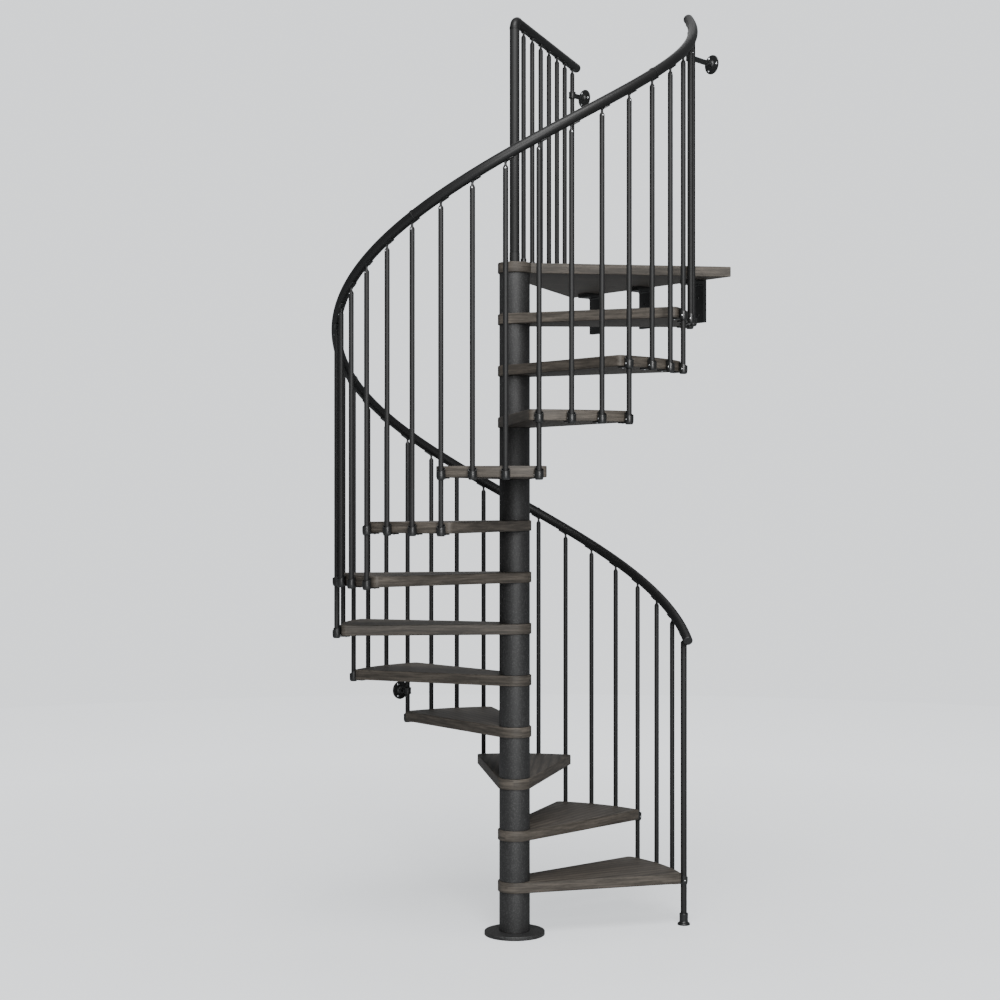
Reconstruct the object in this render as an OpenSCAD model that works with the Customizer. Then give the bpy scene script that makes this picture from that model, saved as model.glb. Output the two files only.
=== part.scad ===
// Spiral staircase: twelve wooden treads on a steel column, a wedge landing
// fixed to a wall, round balusters clipped to the treads' outer edge and a
// helical handrail that makes one full turn.
// Z is up. The origin is on the column's axis at the underside of the base
// plate. The walls lie in the planes y = wall_reach and x = -wall_reach.

/* [Stair] */
// Height from one tread's top to the next
riser = 207.8; // [170:0.1:220]
// Height of the first tread's top over the floor
first_rise = 218; // [195:1:230]
// Angle from one tread's centre line to the next, in degrees
tread_turn = 29.35; // [28:0.05:30]
// Angle of the newel, seen from above, in degrees from the X axis
newel_angle = 64.5; // [50:0.5:70]
// Distance from the circle of the balusters to each wall
wall_gap = 42.7; // [40:0.1:80]

/* [Column] */
// Diameter of the spacer tubes between the treads
column_d = 124; // [100:1:150]
// Wall of the spacer tubes
spacer_wall = 4; // [2:0.5:8]
// Diameter of the base plate
base_d = 245; // [200:1:320]
// Thickness of the base plate
base_t = 16; // [8:1:25]
// Width of the eased edge on the base plate
base_ease = 3; // [1:0.5:6]

/* [Treads] */
// Distance from the column's axis to a tread's outer edge
tread_r = 700; // [580:5:840]
// Thickness of the treads and of the landing
tread_t = 42; // [30:1:60]
// Wood that a tread's round hub shows around the column
hub_margin = 6; // [3:1:15]
// Half of the angle between a tread's outer corners, in degrees
tread_half_angle = 17.35; // [15:0.05:19]
// Radius of a tread's outer corners
tread_corner_r = 18; // [8:1:30]

/* [Landing] */
// Direction of the landing's front edge, in degrees from the X axis
landing_front_angle = 60; // [55:0.5:65]
// Direction of the landing's left edge, in degrees from the X axis
landing_left_angle = 121.05; // [118:0.05:124]
// Gap between the last baluster and the landing's front edge
landing_front_gap = 5; // [2:0.5:10]

/* [Balusters] */
// Diameter of the balusters
baluster_d = 20; // [16:1:25]
// Diameter of the newel, the first baluster that stands on the floor
newel_d = 26; // [22:1:30]
// Length of the chamfered shoulder at a baluster's top
shoulder_h = 6; // [3:1:12]
// Diameter of the pin between a baluster and its rail saddle
neck_d = 10; // [8:1:14]
// Clear height between a baluster's shoulder and the handrail
neck_h = 15; // [8:1:30]

/* [Tread clips] */
// Diameter of the collar that holds a baluster
clip_d = 34; // [33:1:40]
// How far a collar reaches below its tread
clip_drop = 10; // [5:1:14]
// Height of a collar on its outer side
clip_low = 31; // [20:1:35]
// Height of a collar on the side of the tread
clip_high = 46; // [36:1:50]
// Width of the tab that is screwed under the tread
tab_w = 30; // [20:1:34]
// Length of that tab under the tread
tab_l = 36; // [20:1:60]
// Thickness of that tab
tab_t = 5; // [3:0.5:5]

/* [Handrail] */
// Diameter of the handrail
handrail_d = 40; // [36:1:50]
// Height of the handrail's centre over the line of the treads' tops
handrail_h = 994.5; // [900:0.5:1100]
// Number of the baluster at the first seam
first_seam = 7; // [5:1:8]
// Angle from that baluster to the seam, in degrees
seam_shift = 0.6; // [0.4:0.1:1]
// Angle that the handrail runs on before the newel, in degrees
lead_in = 5; // [3:0.1:8]
// Angle that it runs on past the last baluster, in degrees
run_out = 2.3; // [2.2:0.1:5]
// Width of the collar that covers a seam
collar_w = 8; // [4:1:20]
// How far that collar stands proud of the handrail
collar_proud = 2; // [1:0.5:4]
// Thickness of the caps on the handrail's ends
cap_t = 4; // [2:0.5:8]

/* [Landing balustrade] */
// Diameter of the post over the column
post_d = 40; // [36:1:50]
// Height of the landing handrail's centre over the landing
landing_rail_h = 982; // [900:1:1100]
// Radius of the elbow's centre line
elbow_r = 36; // [30:1:60]
// Angle from the landing's left edge to the landing handrail
landing_rail_skew = 1.65; // [0:0.05:3]
// Distance from the landing handrail's end to the wall
rail_wall_gap = 36.3; // [30:0.1:60]
// Distance from the last landing baluster to the handrail's end
rail_overhang = 62; // [40:1:80]
// Height of the post's base collar
post_collar_h = 42; // [20:1:60]
// Diameter of that collar
post_collar_d = 42; // [41:0.5:52]
// Diameter of the thin flange under the collar
post_flange_d = 56; // [50:1:80]
// Thickness of that flange
post_flange_t = 4; // [2:0.5:8]
// Diameter of the feet of the landing's balusters
landing_foot_d = 27; // [26:1:40]
// Height of those feet
landing_foot_h = 33; // [10:1:50]

/* [Wall fixings] */
// Width of a slab bracket
bracket_w = 70; // [60:1:120]
// Height of a bracket's leg on the wall
bracket_h = 176; // [120:1:200]
// Length of a bracket's leg under the landing
bracket_l = 85; // [40:1:120]
// Thickness of a bracket
bracket_t = 18; // [8:1:20]
// Distance from the landing's corners to the outer brackets
bracket_margin = 141; // [60:1:180]
// Diameter of a wall anchor's disc
disc_d = 80; // [60:1:100]
// Thickness of that disc
disc_t = 5; // [3:0.5:10]
// Diameter of the circle on which its screw holes lie
disc_pcd = 58; // [40:1:60]
// Diameter of its screw holes
disc_hole_d = 7; // [5:0.5:9]
// Diameter of the ring that clamps a baluster
ring_d = 32; // [28:1:40]
// Height of that ring
ring_h = 28; // [16:1:40]
// Angle between a wall anchor's arm and the square line to the wall
arm_slant = 12; // [0:1:20]
// Height of the low anchor over the tread beside it
low_anchor_rise = 85; // [60:1:110]
// Distance from the top anchor up to the handrail's centre
top_anchor_drop = 146; // [100:1:200]
// Distance from the landing anchor up to the landing handrail's centre
landing_anchor_drop = 134.5; // [100:0.5:200]

/* [Newel foot] */
// Diameter of the foot's flange
foot_d = 53; // [45:1:80]
// Height of that flange
foot_flange_h = 10; // [6:1:20]
// Diameter of the foot's sleeve
foot_sleeve_d = 37; // [34:1:42]
// Height of the whole foot
foot_h = 48; // [30:1:80]

/* [Hidden] */
$fn = 48;

// Colours of the real finishes
steel_grey = "#3a3d3f";
rail_grey = "#454749";
wood_brown = "#6b635a";
fitting_black = "#232425";

// Small clearances: round faces that nearly touch, and a bar in its bore
seat_gap = 0.3;
bore_gap = 0.15;
// A cut runs this far past the faces that it opens
over = 1;

tread_count = 12;
per_tread = 3;
last_baluster = tread_count * per_tread;
baluster_turn = tread_turn / per_tread;

hub_r = column_d / 2 + hub_margin;
baluster_r = baluster_d / 2;
clip_r = clip_d / 2;
// Circle on which the newel, the balusters and the handrail stand
rail_r = tread_r + clip_r + seat_gap;
wall_reach = rail_r + wall_gap;
handrail_r = handrail_d / 2;
collar_r = handrail_r + collar_proud;
landing_z = first_rise + tread_count * riser;

// Climb of the handrail: per degree, and as a slope angle
climb = riser / tread_turn;
rail_slope = atan(riser / (rail_r * tread_turn * PI / 180));
// Vertical distance from the handrail's centre to its underside
rail_under = handrail_r / cos(rail_slope);
rail_end = last_baluster * baluster_turn + run_out;
rail_facets = 24;
// Balusters that one full length of handrail carries
rail_span = 8;
rail_lengths = 5;
rail_step = 2.6;

// Landing outline: the front edge passes behind the last baluster and leaves
// the hub at the angle front_touch, and the left edge is tangent to the hub
last_point = rail_r * [cos(turn_of(last_baluster)), sin(turn_of(last_baluster))];
front_dir = [cos(landing_front_angle), sin(landing_front_angle)];
front_out = [front_dir[1], -front_dir[0]];
front_offset = last_point * front_out - baluster_r - landing_front_gap;
front_foot = front_offset * front_out;
front_reach = (wall_reach - front_foot[1]) / front_dir[1];
right_corner = front_foot + front_reach * front_dir;
front_touch = landing_front_angle - 90 + acos(front_offset / hub_r);
left_touch = hub_r * [-sin(landing_left_angle), cos(landing_left_angle)];
left_reach = (wall_reach - left_touch[1]) / sin(landing_left_angle);
left_corner = left_touch + left_reach * [cos(landing_left_angle), sin(landing_left_angle)];
landing_mid = (right_corner[0] + left_corner[0]) / 2;
bracket_pitch = (right_corner[0] - left_corner[0] - bracket_w) / 2 - bracket_margin;

// Heights of the landing's balustrade
landing_rail_z = landing_z + landing_rail_h;
landing_rail_angle = landing_left_angle + landing_rail_skew;
landing_rail_l = (wall_reach - rail_wall_gap) / sin(landing_rail_angle);
landing_baluster_count = 7;
landing_pitch = (landing_rail_l - rail_overhang) / landing_baluster_count;

// Rim that a baluster's shoulder shows around its pin
shoulder_rim = 1;

// Saddles under the handrail: the plate's width, its reach downhill and uphill
// of the pin, its thickness, and how far it wraps up around the handrail
saddle_w = 20;
saddle_back = 8;
saddle_front = 24;
saddle_t = 4;
saddle_wrap = 2;
// Length of a cut that clears the whole saddle
saddle_cut = 2 * (saddle_back + saddle_front + over);

// Wall anchors: the baluster that the low one holds, and the heights
low_anchor = 12;
low_anchor_z = top_of(tread_of(low_anchor)) + low_anchor_rise;
top_anchor_z = rail_z(last_baluster * baluster_turn) - top_anchor_drop;
landing_anchor_z = landing_rail_z - landing_anchor_drop;
// Width and height of an anchor's arm
arm_w = 12;
arm_h = 20;

// Angle of baluster k; number 0 is the newel
function turn_of(k) = newel_angle + k * baluster_turn;
// Height of the top of tread i, counted from 1
function top_of(i) = first_rise + (i - 1) * riser;
// Height of the handrail's centre, a degrees past the newel
function rail_z(a) = first_rise + handrail_h + climb * a;
// Tread that carries the lower end of baluster k
function tread_of(k) = ceil(k / per_tread);
// Lower and upper end of baluster k
function foot_z(k) = top_of(tread_of(k)) - tread_t - clip_drop;
function head_z(k) = rail_z(k * baluster_turn) - rail_under - neck_h;
// Start of handrail length n, in degrees past the newel
function seam_baluster(n) = first_seam + (n - 2) * rail_span;
function seam(n) = n == 1 ? -lead_in : seam_baluster(n) * baluster_turn + seam_shift;
function seam_end(n) = n == rail_lengths ? rail_end : seam(n + 1);
// Place of landing baluster j
function landing_place(j) =
    j * landing_pitch * [cos(landing_rail_angle), sin(landing_rail_angle)];

// Points of one ring around the handrail's centre line
function rail_ring(a) =
    let(t = newel_angle + a,
        s = rail_slope,
        out = [cos(t), sin(t), 0],
        up = [sin(t) * sin(s), -cos(t) * sin(s), cos(s)],
        mid = [rail_r * cos(t), rail_r * sin(t), rail_z(a)])
    [for (f = [0 : rail_facets - 1])
        let(q = f * 360 / rail_facets)
        mid + handrail_r * (cos(q) * out + sin(q) * up)];

// Puts a child on the circle of the balusters, at the place of baluster k
module at_baluster(k) {
    rotate([0, 0, turn_of(k)])
        translate([rail_r, 0, 0])
            children();
}

// Puts a child on the handrail's centre line: local Z runs uphill along the
// rail, and local Y points to its underside
module on_rail(a) {
    rotate([0, 0, newel_angle + a])
        translate([rail_r, 0, rail_z(a)])
            rotate([rail_slope - 90, 0, 0])
                children();
}

// A round bar with a chamfered shoulder at its top
module bar(d, z0, z1) {
    translate([0, 0, z0])
        cylinder(d = d, h = z1 - z0 - shoulder_h);
    translate([0, 0, z1 - shoulder_h])
        cylinder(d1 = d, d2 = neck_d + 2 * shoulder_rim, h = shoulder_h);
}

// A round tube from z0 to z1
module tube(outer_d, inner_d, z0, z1) {
    translate([0, 0, z0])
        difference() {
            cylinder(d = outer_d, h = z1 - z0);
            translate([0, 0, -over])
                cylinder(d = inner_d, h = z1 - z0 + 2 * over);
        }
}

module base_plate() {
    color(steel_grey) {
        cylinder(d = base_d, h = base_t - base_ease);
        translate([0, 0, base_t - base_ease])
            cylinder(d1 = base_d, d2 = base_d - 2 * base_ease, h = base_ease);
    }
}

module column_spacers() {
    color(steel_grey)
        for (i = [1 : tread_count + 1])
            tube(column_d, column_d - 2 * spacer_wall,
                 i == 1 ? base_t : top_of(i - 1), top_of(i) - tread_t);
}

// Points of an arc about mid, from angle a0 to a1
function arc_points(mid, r, a0, a1, steps) = [
    for (n = [0 : steps])
        let(a = a0 + (a1 - a0) * n / steps)
        mid + r * [cos(a), sin(a)]
];

// Outline of a tread about the X axis: a hub, straight sides tangent to the
// hub and to the rounded corners, and an arc as the outer edge
module tread_outline() {
    // Direction of a straight side, from the hub to the sharp corner
    side_angle = tread_half_angle - asin(hub_r / tread_r);
    side_out = [-sin(side_angle), cos(side_angle)];
    // The corner's centre lies inside the side by the corner's own radius
    inset = hub_r - tread_corner_r;
    mid_r = tread_r - tread_corner_r;
    along = sqrt(mid_r * mid_r - inset * inset);
    corner = inset * side_out + along * [cos(side_angle), sin(side_angle)];
    corner_angle = atan2(corner[1], corner[0]);
    // From the hub's back, around one side, to the middle of the outer edge
    half = concat(
        arc_points([0, 0], hub_r, 180, side_angle + 90, 16),
        arc_points(corner, tread_corner_r, side_angle + 90, corner_angle, 8),
        arc_points([0, 0], tread_r, corner_angle * 15 / 16, 0, 15)
    );
    other_half = [for (n = [len(half) - 2 : -1 : 1]) [half[n][0], -half[n][1]]];
    polygon(concat(half, other_half));
}

module tread(i) {
    color(wood_brown)
        rotate([0, 0, newel_angle + (i - 0.5) * tread_turn])
            translate([0, 0, top_of(i) - tread_t])
                linear_extrude(height = tread_t)
                    tread_outline();
}

// A wedge around the column: the hub's arc runs from the left edge to the
// front edge, and the other two corners lie on the wall
module landing() {
    color(wood_brown)
        translate([0, 0, landing_z - tread_t])
            linear_extrude(height = tread_t)
                polygon(concat(
                    arc_points([0, 0], hub_r, landing_left_angle + 90, front_touch + 360, 24),
                    [right_corner, left_corner]
                ));
}

module newel_post() {
    color(steel_grey)
        at_baluster(0)
            bar(newel_d, 0, head_z(0));
}

module newel_foot() {
    color(fitting_black)
        at_baluster(0)
            difference() {
                union() {
                    cylinder(d = foot_d, h = foot_flange_h);
                    cylinder(d = foot_sleeve_d, h = foot_h);
                }
                translate([0, 0, -over])
                    cylinder(d = newel_d + 2 * bore_gap, h = foot_h + 2 * over);
            }
}

module balusters(i) {
    color(steel_grey)
        for (k = [(i - 1) * per_tread + 1 : i * per_tread])
            at_baluster(k)
                bar(baluster_d, foot_z(k), head_z(k));
}

// A collar around a baluster, cut off at a slant so that it is higher on the
// side of the tread, with a tab under the tread
module tread_clip(bar_d) {
    slant = atan((clip_high - clip_low) / clip_d);
    difference() {
        union() {
            translate([0, 0, -clip_drop])
                cylinder(d = clip_d, h = clip_high);
            translate([-clip_r - tab_l, -tab_w / 2, -tab_t])
                cube([clip_r + tab_l, tab_w, tab_t]);
        }
        translate([0, 0, -clip_drop - over])
            cylinder(d = bar_d + 2 * bore_gap, h = clip_high + 2 * over);
        translate([0, 0, (clip_low + clip_high) / 2 - clip_drop])
            rotate([0, slant, 0])
                translate([-clip_d, -clip_d, 0])
                    cube(2 * clip_d);
    }
}

module tread_clips() {
    color(fitting_black)
        for (i = [1 : tread_count])
            for (k = [(i - 1) * per_tread : i * per_tread])
                at_baluster(k)
                    translate([0, 0, top_of(i) - tread_t])
                        tread_clip(k == 0 ? newel_d : baluster_d);
}

// A pin with a small plate that follows the handrail's underside
module rail_saddle(k) {
    difference() {
        union() {
            at_baluster(k)
                translate([0, 0, head_z(k)])
                    cylinder(d = neck_d, h = neck_h + saddle_t);
            on_rail(k * baluster_turn)
                translate([-saddle_w / 2, handrail_r - saddle_wrap, -saddle_back])
                    cube([saddle_w, saddle_wrap + saddle_t, saddle_back + saddle_front]);
        }
        on_rail(k * baluster_turn)
            cylinder(r = handrail_r + seat_gap, h = saddle_cut, center = true);
        for (n = [2 : rail_lengths])
            if (seam_baluster(n) == k)
                on_rail(seam(n))
                    cylinder(r = collar_r + seat_gap, h = collar_w + 2 * seat_gap, center = true);
    }
}

module landing_saddle(j) {
    translate([landing_place(j)[0], landing_place(j)[1], landing_rail_z])
        rotate([0, 0, landing_rail_angle])
            difference() {
                union() {
                    translate([0, 0, -handrail_r - neck_h])
                        cylinder(d = neck_d, h = neck_h + saddle_t);
                    translate([-saddle_back, -saddle_w / 2, -handrail_r - saddle_t])
                        cube([saddle_back + saddle_front, saddle_w, saddle_wrap + saddle_t]);
                }
                rotate([0, 90, 0])
                    cylinder(r = handrail_r + seat_gap, h = saddle_cut, center = true);
            }
}

module rail_saddles() {
    color(fitting_black) {
        for (k = [0 : last_baluster])
            rail_saddle(k);
        for (j = [1 : landing_baluster_count])
            landing_saddle(j);
    }
}

// One length of the helical handrail, swept ring by ring
module handrail(n) {
    steps = ceil((seam_end(n) - seam(n)) / rail_step);
    turn = (seam_end(n) - seam(n)) / steps;
    m = rail_facets;
    points = [for (r = [0 : steps]) each rail_ring(seam(n) + r * turn)];
    sides = [
        for (r = [0 : steps - 1])
            for (f = [0 : m - 1])
                let(a = r * m + f, b = r * m + (f + 1) % m)
                each [[a, b + m, b], [a, a + m, b + m]]
    ];
    near_end = [for (f = [0 : m - 1]) f];
    far_end = [for (f = [m - 1 : -1 : 0]) steps * m + f];
    color(rail_grey)
        polyhedron(points, concat(sides, [near_end, far_end]), convexity = 4);
}

module rail_collars() {
    color(rail_grey)
        for (n = [2 : rail_lengths])
            on_rail(seam(n))
                tube(2 * collar_r, handrail_d + 2 * seat_gap, -collar_w / 2, collar_w / 2);
}

module rail_cap() {
    cylinder(d = handrail_d, h = cap_t / 2);
    translate([0, 0, cap_t / 2])
        cylinder(d1 = handrail_d, d2 = handrail_d - cap_t, h = cap_t / 2);
}

module rail_caps() {
    color(fitting_black) {
        on_rail(seam(1))
            mirror([0, 0, 1])
                rail_cap();
        on_rail(rail_end)
            rail_cap();
        rotate([0, 0, landing_rail_angle])
            translate([landing_rail_l, 0, landing_rail_z])
                rotate([0, 90, 0])
                    rail_cap();
    }
}

module landing_post() {
    color(steel_grey) {
        translate([0, 0, landing_z])
            cylinder(d = post_flange_d, h = post_flange_t);
        translate([0, 0, landing_z])
            cylinder(d = post_collar_d, h = post_collar_h);
        translate([0, 0, landing_z + post_collar_h])
            cylinder(d = post_d, h = landing_rail_h - elbow_r - post_collar_h);
    }
}

module landing_elbow() {
    color(rail_grey)
        rotate([0, 0, landing_rail_angle])
            translate([elbow_r, 0, landing_rail_z - elbow_r])
                rotate([90, 0, 0])
                    rotate([0, 0, 90])
                        rotate_extrude(angle = 90)
                            translate([elbow_r, 0])
                                circle(d = handrail_d);
}

module landing_handrail() {
    color(rail_grey)
        rotate([0, 0, landing_rail_angle])
            translate([elbow_r, 0, landing_rail_z])
                rotate([0, 90, 0])
                    cylinder(d = handrail_d, h = landing_rail_l - elbow_r);
}

module landing_balusters() {
    color(steel_grey)
        for (j = [1 : landing_baluster_count])
            translate(landing_place(j))
                bar(baluster_d, landing_z, landing_rail_z - handrail_r - neck_h);
}

module landing_feet() {
    color(fitting_black)
        for (j = [1 : landing_baluster_count])
            translate(landing_place(j))
                tube(landing_foot_d, baluster_d + 2 * bore_gap,
                     landing_z, landing_z + landing_foot_h);
}

// A ring around a bar at place, a slanted arm and a screwed disc on the wall.
// The wall lies at the given reach along the direction wall_angle.
module wall_anchor(place, z, wall_angle) {
    normal = [cos(wall_angle), sin(wall_angle)];
    gap = wall_reach - place * normal;
    shift = gap * tan(arm_slant);
    translate([place[0], place[1], z])
        rotate([0, 0, wall_angle])
            difference() {
                union() {
                    cylinder(d = ring_d, h = ring_h, center = true);
                    rotate([0, 0, arm_slant])
                        translate([0, -arm_w / 2, -arm_h / 2])
                            cube([(gap - disc_t / 2) / cos(arm_slant), arm_w, arm_h]);
                    translate([gap - disc_t, shift, 0])
                        rotate([0, 90, 0])
                            cylinder(d = disc_d, h = disc_t);
                }
                cylinder(d = baluster_d + 2 * bore_gap, h = ring_h + 2 * over, center = true);
                translate([gap - disc_t - over, shift, 0])
                    for (q = [90, 210, 330])
                        rotate([q, 0, 0])
                            translate([0, 0, disc_pcd / 2])
                                rotate([0, 90, 0])
                                    cylinder(d = disc_hole_d, h = disc_t + 2 * over);
            }
}

module wall_anchors() {
    low_point = rail_r * [cos(turn_of(low_anchor)), sin(turn_of(low_anchor))];
    color(fitting_black) {
        wall_anchor(low_point, low_anchor_z, 180);
        wall_anchor(last_point, top_anchor_z, 90);
        wall_anchor(landing_place(landing_baluster_count), landing_anchor_z, 90);
    }
}

module slab_brackets() {
    color(fitting_black)
        for (side = [-1, 0, 1])
            translate([landing_mid + side * bracket_pitch - bracket_w / 2,
                       wall_reach, landing_z - tread_t]) {
                translate([0, -bracket_t, -bracket_h])
                    cube([bracket_w, bracket_t, bracket_h]);
                translate([0, -bracket_l, -bracket_t])
                    cube([bracket_w, bracket_l, bracket_t]);
            }
}

base_plate();
column_spacers();
tread(1);  // tread_01
tread(2);  // tread_02
tread(3);  // tread_03
tread(4);  // tread_04
tread(5);  // tread_05
tread(6);  // tread_06
tread(7);  // tread_07
tread(8);  // tread_08
tread(9);  // tread_09
tread(10);  // tread_10
tread(11);  // tread_11
tread(12);  // tread_12
landing();
newel_post();
newel_foot();
balusters(1);  // balusters_01
balusters(2);  // balusters_02
balusters(3);  // balusters_03
balusters(4);  // balusters_04
balusters(5);  // balusters_05
balusters(6);  // balusters_06
balusters(7);  // balusters_07
balusters(8);  // balusters_08
balusters(9);  // balusters_09
balusters(10);  // balusters_10
balusters(11);  // balusters_11
balusters(12);  // balusters_12
tread_clips();
rail_saddles();
handrail(1);  // handrail_1
handrail(2);  // handrail_2
handrail(3);  // handrail_3
handrail(4);  // handrail_4
handrail(5);  // handrail_5
rail_collars();
rail_caps();
landing_post();
landing_elbow();
landing_handrail();
landing_balusters();
landing_feet();
wall_anchors();
slab_brackets();
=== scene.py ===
# %% [markdown]
# # A spiral staircase
# Twelve wooden treads climb round a steel column to a wedge of landing.
# Round balusters hang in clips at the treads' outer edge and carry a helical handrail.
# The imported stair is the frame: every piece below goes exactly where its node lies,
# and only adds what a drawing leaves out, such as rounded edges, grain and screws.

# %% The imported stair
from math import acos, asin, atan2, ceil, cos, degrees, hypot, pi, radians, sin, sqrt, tan

import bmesh
import bpy
from mathutils import Matrix, Vector


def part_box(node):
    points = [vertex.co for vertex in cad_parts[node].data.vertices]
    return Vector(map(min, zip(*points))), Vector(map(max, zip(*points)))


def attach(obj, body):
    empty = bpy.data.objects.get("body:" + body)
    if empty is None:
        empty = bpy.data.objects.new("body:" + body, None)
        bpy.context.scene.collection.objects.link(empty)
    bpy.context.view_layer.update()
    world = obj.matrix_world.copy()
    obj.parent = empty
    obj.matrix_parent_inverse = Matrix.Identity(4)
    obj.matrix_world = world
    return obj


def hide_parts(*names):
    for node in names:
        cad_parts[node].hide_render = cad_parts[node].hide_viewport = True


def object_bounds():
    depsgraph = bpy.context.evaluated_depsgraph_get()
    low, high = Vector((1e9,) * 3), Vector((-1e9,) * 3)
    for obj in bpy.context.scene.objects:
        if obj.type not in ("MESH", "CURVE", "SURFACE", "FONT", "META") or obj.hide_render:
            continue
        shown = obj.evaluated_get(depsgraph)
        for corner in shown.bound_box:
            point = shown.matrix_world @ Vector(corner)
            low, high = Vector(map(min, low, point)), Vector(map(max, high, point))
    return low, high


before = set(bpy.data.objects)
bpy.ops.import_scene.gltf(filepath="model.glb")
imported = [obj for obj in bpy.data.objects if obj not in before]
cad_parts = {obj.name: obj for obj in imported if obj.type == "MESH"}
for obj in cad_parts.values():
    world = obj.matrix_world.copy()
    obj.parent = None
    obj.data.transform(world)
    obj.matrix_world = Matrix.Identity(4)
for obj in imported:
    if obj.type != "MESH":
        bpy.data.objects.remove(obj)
cad_low, cad_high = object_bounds()
MM = 0.001
print("nodes", len(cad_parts), "height", round(cad_high.z, 3), "m")

# %% [markdown]
# ## The stair's layout
# A spiral stair is one step repeated: each tread is the last one turned and lifted.
# The places are read from the nodes' boxes where a box can say them.
# The angles can't be read from a box, so they are repeated here from the part's source.

# %% Rise, turn and radius
TREADS = 12
BARS_PER_TREAD = 3
QUARTER = pi / 2
TREAD_TURN = radians(29.35)
BAR_TURN = TREAD_TURN / BARS_PER_TREAD
LAST_BAR = TREADS * BARS_PER_TREAD

newel_low, newel_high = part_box("newel_post")
newel_middle = (newel_low + newel_high) / 2
RAIL_REACH = hypot(newel_middle.x, newel_middle.y)
NEWEL_ANGLE = atan2(newel_middle.y, newel_middle.x)

first_low, first_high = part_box("tread_01")
BOARD_T = first_high.z - first_low.z
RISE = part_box("tread_02")[1].z - first_high.z
column_low, column_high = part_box("column_spacers")
COLUMN_R = (column_high.x - column_low.x) / 2
LANDING_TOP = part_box("landing")[1].z
WALL_REACH = cad_high.y


def bar_angle(k):
    """Direction of baluster k, seen from the column; number 0 is the newel."""
    return NEWEL_ANGLE + k * BAR_TURN


def tread_top(i):
    """Height of the top of tread i, counted from 1."""
    return first_high.z + (i - 1) * RISE


def spin(angle, axis):
    """A turn about one axis."""
    return Matrix.Rotation(angle, 4, axis)


def shift(x, y, z):
    """A move without a turn."""
    return Matrix.Translation((x, y, z))


def stand_at(angle, reach, height):
    """A place at that distance from the column, with local X pointing outwards."""
    return spin(angle, "Z") @ shift(reach, 0, height)


print("rise", round(RISE / MM, 1), "rail circle", round(RAIL_REACH / MM, 1),
      "newel at", round(degrees(NEWEL_ANGLE), 1), "degrees")

# %% [markdown]
# ## The camera and the studio
# The camera stands at eye height and looks level at the column, from far enough for
# a natural perspective. A level camera keeps the balusters parallel, as a
# view camera would, and the small shift sets the column a little off centre.

# %% Camera at eye height
CAMERA_HEADING = radians(141.5)
CAMERA_DISTANCE = 7.318
EYE_HEIGHT = 1.759
camera_data = bpy.data.cameras.new("studio_camera")
camera_data.lens = 65.16
camera_data.shift_x = -0.0146
camera_data.shift_y = -0.0011
camera = bpy.data.objects.new("studio_camera", camera_data)
camera.location = (-CAMERA_DISTANCE * cos(CAMERA_HEADING),
                   -CAMERA_DISTANCE * sin(CAMERA_HEADING), EYE_HEIGHT)
camera.rotation_euler = (radians(90), 0, CAMERA_HEADING - radians(90))
bpy.context.scene.collection.objects.link(camera)
bpy.context.scene.camera = camera
print("camera at", [round(v, 3) for v in camera.location])

# %% [markdown]
# ## Colour and node helpers
# Colours are written as the sRGB hex values that a paint chart gives.
# Shaders work in linear light, so one function converts them.
# One more function adds a node, sets it and links it, which keeps each material
# short enough to read as a recipe. A node given as an input is linked by its first
# output, and a plain number or colour is set on the socket itself.

# %% Helpers for colours and nodes


def paint(hex_colour):
    """Linear RGBA of an sRGB hex colour."""
    channels = [int(hex_colour[n:n + 2], 16) / 255 for n in (1, 3, 5)]
    linear = [c / 12.92 if c <= 0.04045 else ((c + 0.055) / 1.055) ** 2.4 for c in channels]
    return (*linear, 1)


def grey(value):
    """A grey of that linear value, for masks and shares."""
    return (value, value, value, 1)


def add_node(tree, kind, inputs=None, stops=None, **settings):
    """Adds a shader node: settings on itself, then values or links on its inputs."""
    node = tree.nodes.new("ShaderNode" + kind)
    for name, value in settings.items():
        setattr(node, name, value)
    for name, value in (inputs or {}).items():
        if isinstance(value, bpy.types.Node):
            value = value.outputs[0]
        if isinstance(value, bpy.types.NodeSocket):
            tree.links.new(value, node.inputs[name])
        else:
            node.inputs[name].default_value = value
    if stops:
        ramp = node.color_ramp.elements
        while len(ramp) < len(stops):
            ramp.new(0.5)
        for element, (place, colour) in zip(ramp, stops):
            element.position = place
            element.color = colour
    return node


def new_finish(name):
    """An empty material and its node tree."""
    finish = bpy.data.materials.new(name)
    finish.use_nodes = True
    finish.node_tree.nodes.clear()
    return finish, finish.node_tree


def surface(tree, inputs):
    """Ends a material: its shader with these inputs, linked to the output."""
    shader = add_node(tree, "BsdfPrincipled", inputs)
    add_node(tree, "OutputMaterial", {"Surface": shader})


print("paint check", [round(v, 3) for v in paint("#808080")])

# %% [markdown]
# ## Powder-coated steel
# The column, newel, balusters and post are steel tube with an anthracite powder coat.
# The powder melts to a tough skin with a fine grain, so the metal itself never shows:
# it is a rough dielectric, not a metal. The grain breaks the highlight into a soft,
# sparkling band. Real grain is under 1 mm, too fine to show at this distance, so it is
# drawn 5 mm coarse on the column. A baluster is only 20 mm thick, and there the same
# grain would look like dirt, so the bars get a finer, shallower and duller one.

# %% Material: powder-coated steel
COLUMN_GRAIN = 5 * MM
BAR_GRAIN = 1.5 * MM


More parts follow.
